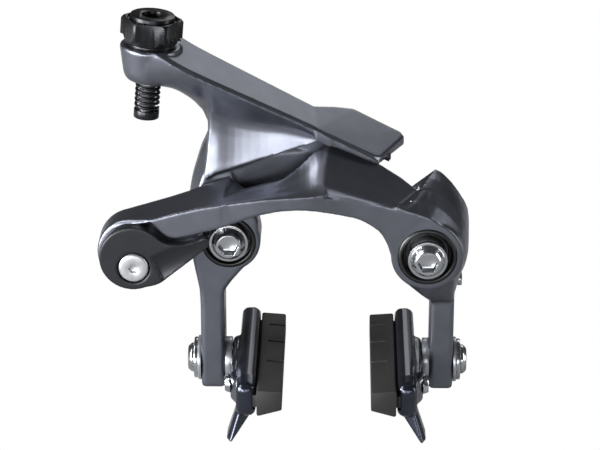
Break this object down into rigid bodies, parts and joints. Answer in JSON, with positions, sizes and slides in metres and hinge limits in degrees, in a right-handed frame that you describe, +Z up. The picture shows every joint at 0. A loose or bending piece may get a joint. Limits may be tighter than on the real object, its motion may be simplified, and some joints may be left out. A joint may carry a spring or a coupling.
{
  "type": "bicycle rim brake caliper",
  "caption": "Direct-mount dual-pivot rim brake caliper with two linked arms, cartridge shoes, quick release lever and barrel adjuster",
  "frame": {"origin": "midway between the two mounting bolt axes, on the rear mounting plane", "axes": "+X right as seen from the front, +Y back into the fork along the bolts, +Z up"},
  "size_m": [0.1047, 0.0556, 0.1196],
  "materials": {
    "grey_alloy": "satin graphite grey over cast aluminium",
    "dark_lever": "satin charcoal, smooth",
    "black_plate": "satin black",
    "bright_steel": "bright zinc-plated steel, lightly turned",
    "zinc_steel": "dull zinc-plated steel",
    "spring_steel": "drawn spring steel",
    "black_steel": "black oxide on steel",
    "black_plastic": "moulded black nylon",
    "shoe_alloy": "glossy dark grey-blue",
    "pad_rubber": "moulded black brake rubber"
  },
  "bodies": {
    "base": {"back_plate": "black_plate", "left_pivot_sleeve": "zinc_steel", "right_pivot_sleeve": "zinc_steel", "left_mount_bolt": "bright_steel", "right_mount_bolt": "bright_steel", "bolt_washers": "zinc_steel", "thrust_washers": "black_plastic", "return_spring": "spring_steel"},
    "front_arm_body": {"front_arm": "grey_alloy", "right_bush": "black_plastic", "right_cover": "black_plastic", "roller_pin": "bright_steel", "centering_screw": "bright_steel", "right_spring_seat": "black_plastic", "hook_pin": "bright_steel", "right_shoe_holder": "shoe_alloy", "right_pad": "pad_rubber", "right_pad_screw": "bright_steel", "right_shoe_bolt": "bright_steel", "right_flat_washer": "zinc_steel", "right_dished_washer": "bright_steel", "right_inner_washer": "zinc_steel"},
    "rear_arm_body": {"rear_arm": "grey_alloy", "left_bush": "black_plastic", "left_cover": "black_plastic", "contact_plate": "zinc_steel", "left_spring_seat": "black_plastic", "detent_washer": "zinc_steel", "barrel_spring": "black_steel", "left_shoe_holder": "shoe_alloy", "left_pad": "pad_rubber", "left_pad_screw": "bright_steel", "left_shoe_bolt": "bright_steel", "left_flat_washer": "zinc_steel", "left_dished_washer": "bright_steel", "left_inner_washer": "zinc_steel"},
    "roller_body": {"contact_roller": "bright_steel"},
    "quick_release_body": {"quick_release_lever": "dark_lever", "anchor_bolt": "bright_steel", "clamp_washer": "zinc_steel", "anchor_nut": "zinc_steel"},
    "adjuster_nut_body": {"barrel_nut": "black_plastic"},
    "adjuster_stem_body": {"barrel_stem": "zinc_steel", "barrel_collar": "black_steel"}
  },
  "joints": [
    {"name": "front_arm_swing", "type": "hinge", "parent": "base", "child": "front_arm_body", "pos_m": [0.028, 0, 0], "axis": [0, 1, 0], "range_deg": [0, 5], "stiffness_Nm_per_rad": 0.8, "deforming": ["return_spring"]},
    {"name": "rear_arm_swing", "type": "hinge", "parent": "base", "child": "rear_arm_body", "pos_m": [-0.028, 0, 0], "axis": [0, 1, 0], "range_deg": [-5, 0], "stiffness_Nm_per_rad": 0.8},
    {"name": "roller_turn", "type": "hinge", "parent": "front_arm_body", "child": "roller_body", "pos_m": [0.00942, -0.0115, 0.02332], "axis": [0, 1, 0], "range_deg": [0, 85]},
    {"name": "quick_release_turn", "type": "hinge", "parent": "front_arm_body", "child": "quick_release_body", "pos_m": [-0.0541, -0.023, 0.0011], "axis": [0, 1, 0], "range_deg": [0, 100]},
    {"name": "adjuster_turn", "type": "hinge", "parent": "rear_arm_body", "child": "adjuster_nut_body", "pos_m": [-0.04875, -0.0155, 0.06], "axis": [0.0828, 0, 0.9966], "range_deg": [0, 720]},
    {"name": "adjuster_lift", "type": "slide", "parent": "rear_arm_body", "child": "adjuster_stem_body", "axis": [0.0828, 0, 0.9966], "range_m": [0, 0.002], "deforming": ["barrel_spring"]}
  ],
  "couplings": [
    {"joint": "rear_arm_swing", "follows": "front_arm_swing", "ratio": -1},
    {"joint": "roller_turn", "follows": "front_arm_swing", "ratio": 16},
    {"joint": "adjuster_turn", "follows": "adjuster_lift", "rad_per_m": 6283.2}
  ]
}
